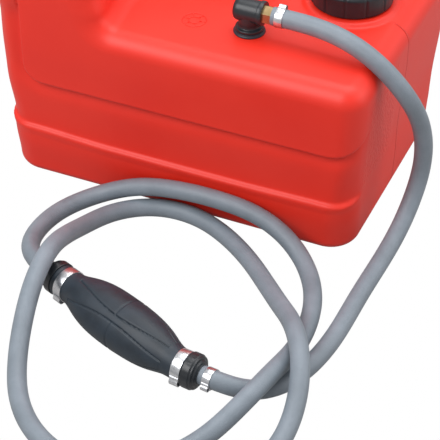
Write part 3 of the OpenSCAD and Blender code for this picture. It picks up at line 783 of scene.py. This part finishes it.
# ------------------------------------------------------------------ primer bulb
# How full the body is between its necks, by the distance from its centre along the bulb
BULB_FULLNESS = [(-62, 0), (-57, 0.1), (-52, 0.27), (-46, 0.48), (-39, 0.68), (-30, 0.86), (-20, 0.96),
                 (-8, 1), (6, 0.99), (18, 0.94), (29, 0.84), (39, 0.68), (47, 0.48), (54, 0.25), (59, 0.09),
                 (64, 0)]
BULB_NECK_R, BULB_SWELL, BULB_SIDES = 14.0, 10.0, 240
EYE_FROM, EYE_TO, EYE_MIDDLE = -51, 61, 5
EYE_HALF_DEG, EYE_AT_DEG, EYES = 37.0, 173.0, 4
EYE_PROUD, EYE_EDGE_DEEP, EYE_CUT_DEEP = 0.45, 0.8, 0.85
MOUTH_BEAD = 0.5
NECK_BEND_FROM, NECK_BEND_TO, NECK_BEND_DEG = 62.0, 76.0, 14.0


def bulb_frame(s):
    """A frame on the bulb's line, which turns in the inlet's neck to meet the hose."""
    if s <= NECK_BEND_FROM:
        return moved(BULB_AT, s)
    run = NECK_BEND_TO - NECK_BEND_FROM
    bent = BULB_DEG + NECK_BEND_DEG * min((s - NECK_BEND_FROM) / run, 1)
    chord = frame_at(on_axis(BULB_AT, NECK_BEND_FROM), (BULB_DEG + bent) / 2)
    turned_on = frame_at(on_axis(chord, min(s - NECK_BEND_FROM, run)), bent)
    return moved(turned_on, max(s - NECK_BEND_TO, 0))


def bulb_relief(s, r, degrees):
    """Four eye-shaped panels, each cut by one cross line, and a bead at each mouth."""
    beads = MOUTH_BEAD * sum(math.exp(-((s - mouth) / 1.2) ** 2) for mouth in (-77, 79))
    if not EYE_FROM < s < EYE_TO:
        return np.full(len(degrees), beads)
    pitch = 360.0 / EYES
    from_middle = (degrees - EYE_AT_DEG + pitch / 2) % pitch - pitch / 2
    narrowing, run = (25.0, 56.0) if s < EYE_MIDDLE else (21.0, 57.0)
    half_deg = EYE_HALF_DEG - narrowing * ((s - EYE_MIDDLE) / run) ** 2
    from_side = (half_deg - np.abs(from_middle)) * math.pi / 180 * r
    inside = np.minimum(from_side, min(s - EYE_FROM, EYE_TO - s))
    relief = EYE_PROUD * np.clip(inside / 1.2, 0, 1) - EYE_EDGE_DEEP * np.exp(-(inside / 0.6) ** 2)
    relief -= EYE_CUT_DEEP * math.exp(-((s - EYE_MIDDLE) / 0.75) ** 2) * (inside > 0)
    return relief + beads


def make_bulb():
    """The rubber body as rings along its line."""
    s = np.r_[np.arange(-78, -62, 1.0), np.arange(-62, 64, 0.75), np.arange(64, 80.1, 1.0)]
    at, share = np.array(BULB_FULLNESS, float).T
    radius = BULB_NECK_R + BULB_SWELL * evened(np.interp(s, at, share), SMOOTHING_PASSES)
    degrees = np.arange(BULB_SIDES) * 360.0 / BULB_SIDES
    a = np.radians(degrees)
    verts = []
    for si, ri in zip(s, radius):
        rr = ri + bulb_relief(si, ri, degrees)
        verts.append(place(bulb_frame(si), np.c_[np.zeros(BULB_SIDES), rr * np.cos(a), rr * np.sin(a)]))
    faces = ring_faces(len(s), BULB_SIDES) + end_caps(len(s), BULB_SIDES)
    return dress(solid("primer_bulb", np.vstack(verts), faces, RUBBER, 60), "bulb_body")


FLUTES, COLLAR_FLUTE_DEEP = 12, 0.35


def make_fitting(name, fr, collar, node):
    """Moulded valve fitting with its collar, hub and barb; +X runs out of the bulb."""
    outside = [(0.2, collar - 0.3), (0.6, collar), (7.2, collar), (8.2, collar - 1.1), (9.6, collar - 1.1),
               (9.8, collar - 3.6), (11.6, collar - 4.2), (11.8, 9.4), (12.6, 9.0), (12.6, 4.8)]
    profile = [(-12, 3), (-12, 9.9), (0.2, 9.9), (0.2, collar - 0.3)] + rounded(outside, 0.5)
    profile += [(12.7, 4.6), (28, 4.6), (28, 3)]

    def flutes(s, r, a):
        on_rim = 1.0 < s < 7.0 and r > collar - 0.4
        return -COLLAR_FLUTE_DEEP * max(0.0, math.cos(FLUTES * a)) ** 8 if on_rim else 0.0

    return dress(lathe(name, profile, BLACK, fr, 96, displace=flutes), node)


make_bulb()
fit_in = make_fitting("inlet_fitting", moved(INLET_AT, 7.4), 15.8, "bulb_inlet_fitting")
fit_out = make_fitting("outlet_fitting", moved(BULB_AT, -78.0, True), 15.2, "bulb_outlet_fitting")

# ------------------------------------------------------------------ bands and clamps
STRIP_THICK = 0.75
EAR_STEPS, EAR_HIGH, EAR_CLEAR, EAR_HALF_THICK, EAR_INSET = 25, 2.2, 0.25, 0.35, 0.5


def ear_strip(outer, half_width, middle, half_angle):
    """Points and faces of the folded strip that stands off a band."""
    verts, faces = [], []
    for u in np.linspace(-1, 1, EAR_STEPS):
        r = outer + EAR_CLEAR + EAR_HIGH * (1 - min(1, abs(u) / 0.55) ** 3)
        a = middle + u * half_angle
        for s in (EAR_INSET - half_width, half_width - EAR_INSET):
            for rr in (r - EAR_HALF_THICK, r + EAR_HALF_THICK):
                verts.append((s, rr * math.cos(a), rr * math.sin(a)))
    for b in range(0, len(verts) - 4, 4):
        c = b + 4
        faces += [(b, b + 2, c + 2, c), (b + 1, c + 1, c + 3, b + 3)]
        faces += [(b, c, c + 1, b + 1), (b + 2, b + 3, c + 3, c + 2)]
    e = len(verts) - 4
    return verts, faces + [(0, 1, 3, 2), (e, e + 2, e + 3, e + 1)]


def crimp_band(name, fr, r, width, ear_deg, node, ear=7.0):
    """A steel strip round a hose or a neck, lapped under a folded ear."""
    half, outer = width / 2, r + STRIP_THICK
    profile = rounded([(-half, r), (-half, outer), (half, outer), (half, r)], 0.25, 2) + [(0, r)]
    verts, faces = turned(profile, 72)
    ear_verts, ear_faces = ear_strip(outer, half, math.radians(ear_deg), 0.75 * ear / outer)
    faces += [tuple(len(verts) + k for k in face) for face in ear_faces]
    band = solid(name, place(fr, np.vstack([verts, ear_verts])), faces, STEEL, 38)
    return dress(band, node)


NECK_BAND_R, NECK_BAND_WIDE, NECK_BAND_EAR = 14.15, 9, 9.0
CLAMP_R, CLAMP_WIDE = HOSE_R + 0.1, 7.5
band_in = crimp_band("inlet_band", moved(INLET_AT, 2.0), NECK_BAND_R, NECK_BAND_WIDE, 205,
                     "bulb_inlet_band", NECK_BAND_EAR)
band_out = crimp_band("outlet_band", moved(BULB_AT, -68.5), NECK_BAND_R, NECK_BAND_WIDE, 215,
                      "bulb_outlet_band", NECK_BAND_EAR)
clamp_in = crimp_band("inlet_clamp", moved(INLET_AT, 28.0), CLAMP_R, CLAMP_WIDE, 205, "inlet_hose_clamp")
clamp_out = crimp_band("outlet_clamp", moved(BULB_AT, -100.0), CLAMP_R, CLAMP_WIDE, 215, "outlet_hose_clamp")
clamp_tank = crimp_band("tank_clamp", moved(ELBOW_AT, 29.5), CLAMP_R, CLAMP_WIDE, 60, "tank_hose_clamp")

# ------------------------------------------------------------------ filler cap
GRIPS, GRIP_PHASE, GRIP_DEEP, FLUTE_DEEP = 12, 0.35, 1.1, 0.12
SKIRT_LOW, SKIRT_HIGH = 182.5, 202.6


def grip(z, r, a):
    """Twelve narrow grooves down the skirt with soft flutes between them."""
    if r < 35.5 or z > SKIRT_HIGH:
        return 0.0
    d = abs(((a * GRIPS / TURN - GRIP_PHASE) + 0.5) % 1.0 - 0.5) * TURN / GRIPS * r
    ends = min(1.0, (SKIRT_HIGH - z) / 1.5) * min(1.0, max(0.0, z - SKIRT_LOW) + 0.3)
    return -(GRIP_DEEP * math.exp(-(d / 0.9) ** 2) + FLUTE_DEEP * math.exp(-((d - 4.5) / 1.5) ** 2)) * ends


def make_cap():
    """Skirt, rounded edge and sunk top, then back down the inside round the two inner collars."""
    profile = [(199.0, 34.2), (183.3, 34.2), (182.5, 34.6), (182.5, 36.6), (183.0, 37.2)]
    profile += [(z, 37.2) for z in np.arange(184, 199.1, 1.5)]
    for t in np.linspace(0.1, math.pi / 2, 8):
        profile.append((199 + 4.0 * math.sin(t), 33.2 + 4.0 * math.cos(t)))
    profile += [(203.0, 29.0), (202.6, 28.2), (202.2, 27.4), (202.2, 15.0), (202.5, 14.0), (203, 13.4),
                (203, 4.4), (195.2, 4.4), (195.2, 7.3), (199.2, 7.3), (199.2, 20.2), (192, 20.2), (192, 23.1),
                (199.2, 23.1), (199.2, 29.3), (185.5, 29.3), (185.5, 31.7), (199.0, 31.7)]
    cap = lathe("filler_cap", profile, BLACK, CAP_AT, 288, "z", grip, sharp=50)
    return dress(cap, "cap_shell", "cap")


KNURLS, KNURL_DEEP = 18, 0.5


def knurl(z, r, a):
    on_rim = r > 8.4 and 205 < z < 210
    return -KNURL_DEEP * max(0.0, math.cos(KNURLS * a)) ** 2 if on_rim else 0.0


def make_vent_knob():
    profile = [(193.2, 0), (193.2, 3), (194.2, 4), (204.4, 4), (204.4, 8.6), (205, 9), (209.4, 9),
               (210.4, 8.4), (210.8, 7.4), (210.5, 4.0), (210.4, 0)]
    knob = lathe("vent_knob_top", profile, BLACK, CAP_AT, 144, "z", knurl)
    return dress(knob, "vent_knob", "vent")


make_cap()
make_vent_knob()


# ------------------------------------------------------------------ pickup fitting
def make_grommet():
    profile = [(171.5, 7.4), (171.5, 13), (174.5, 13), (174.5, 11), (178.05, 11), (178.05, 14.2),
               (179.3, 14.2), (179.9, 13.2), (181, 13.2), (181, 7.4)]
    grommet = lathe("grommet", rounded(profile, 0.5), RUBBER, PICKUP_AT, 72, "z")
    return dress(grommet, "pickup_grommet")


def make_elbow():
    """An upright stem in the grommet, and a barrel across its top that takes the hose."""
    collar = [(181, 7.4), (181, 12.5), (183.6, 12.5), (184.2, 9.6), (186.2, 9.2), (189, 9.6), (196, 9.8)]
    profile = [(150, 3), (150, 5), (165, 5), (165, 7.4), (181, 7.4)] + rounded(collar, 0.6)
    stem = lathe("elbow_stem", profile + [(199, 9.6), (199, 3)], BLACK, PICKUP_AT, 72, "z")
    dress(stem, "pickup_elbow")
    profile = [(-13.6, 0), (-13.5, 5.5), (-13.0, 8.0), (-11.9, 9.4), (-10.2, 10.2), (-8, 10.4), (9.4, 10.4),
               (9.8, 11.1), (10.4, 11.3), (13.2, 11.3), (14, 10.9), (14, 6.2), (13, 5.2), (0, 5.0), (0, 0)]
    dress(lathe("elbow_barrel", profile, BLACK, ELBOW_AT, 72))


make_grommet()
make_elbow()

# ------------------------------------------------------------------ CAD nodes that stay
slots = {s["node"]: s["material_slot"] for s in frame["record"]["subparts"]}
for name, ob in frame["nodes"].items():
    for s in ob.material_slots:
        s.material = LOOKS[slots[name]]

# ------------------------------------------------------------------ floor and light
FLOOR_HALF, FLOOR_DROP = 9000, 0.0004
FLOOR_GREY, FLOOR_ROUGH, FLOOR_MIRRORED = (0.32, 0.31, 0.30, 1), 0.9, 0.2
WHITE = (1, 1, 1, 1)
WORLD_STRENGTH = 0.55


def make_floor_material():
    """White to the camera, dimmer in reflections, and a matt grey floor for the light it sends back."""
    m, nt, b = new_material("floor_white")
    b.inputs["Base Color"].default_value = FLOOR_GREY
    b.inputs["Roughness"].default_value = FLOOR_ROUGH
    glow = nt.nodes.new("ShaderNodeEmission")
    glow.inputs["Color"].default_value = WHITE
    glow.inputs["Strength"].default_value = 1.0
    ray = nt.nodes.new("ShaderNodeLightPath")
    mirrored = maths(nt, "MULTIPLY", ray.outputs["Is Glossy Ray"], FLOOR_MIRRORED)
    mix = nt.nodes.new("ShaderNodeMixShader")
    nt.links.new(maths(nt, "MAXIMUM", ray.outputs["Is Camera Ray"], mirrored), mix.inputs[0])
    nt.links.new(b.outputs[0], mix.inputs[1])
    nt.links.new(glow.outputs[0], mix.inputs[2])
    nt.links.new(mix.outputs[0], nt.nodes["Material Output"].inputs["Surface"])
    return m


def make_floor():
    corners = [(x * FLOOR_HALF, y * FLOOR_HALF, 0) for x, y in ((-1, -1), (1, -1), (1, 1), (-1, 1))]
    floor = mesh_object("floor", corners, [(0, 1, 2, 3)], make_floor_material(), smooth=False)
    floor.location.z = -FLOOR_DROP


def make_world():
    world = bpy.data.worlds.new("World")
    scene.world = world
    world.use_nodes = True
    background = world.node_tree.nodes["Background"]
    background.inputs["Color"].default_value = WHITE
    background.inputs["Strength"].default_value = WORLD_STRENGTH


def area_light(name, position, aim, size, power):
    data = bpy.data.lights.new(name, "AREA")
    data.shape = "RECTANGLE"
    data.size, data.size_y = size
    data.energy = power
    light = bpy.data.objects.new(name, data)
    scene.collection.objects.link(light)
    light.location = position
    light.rotation_euler = (Vector(aim) - Vector(position)).to_track_quat("-Z", "Y").to_euler()


make_floor()
make_world()
area_light("overhead", (0.1, 0.45, 1.85), (0.03, -0.1, 0.05), (1.5, 1.3), 20)
area_light("front_left", (-0.62, -1.25, 1.5), (0.0, -0.1, 0.1), (1.4, 1.2), 27)
area_light("right", (1.6, 0.6, 1.0), (0.1, 0.0, 0.1), (1.9, 1.5), 13)
scene.view_settings.view_transform = "Standard"
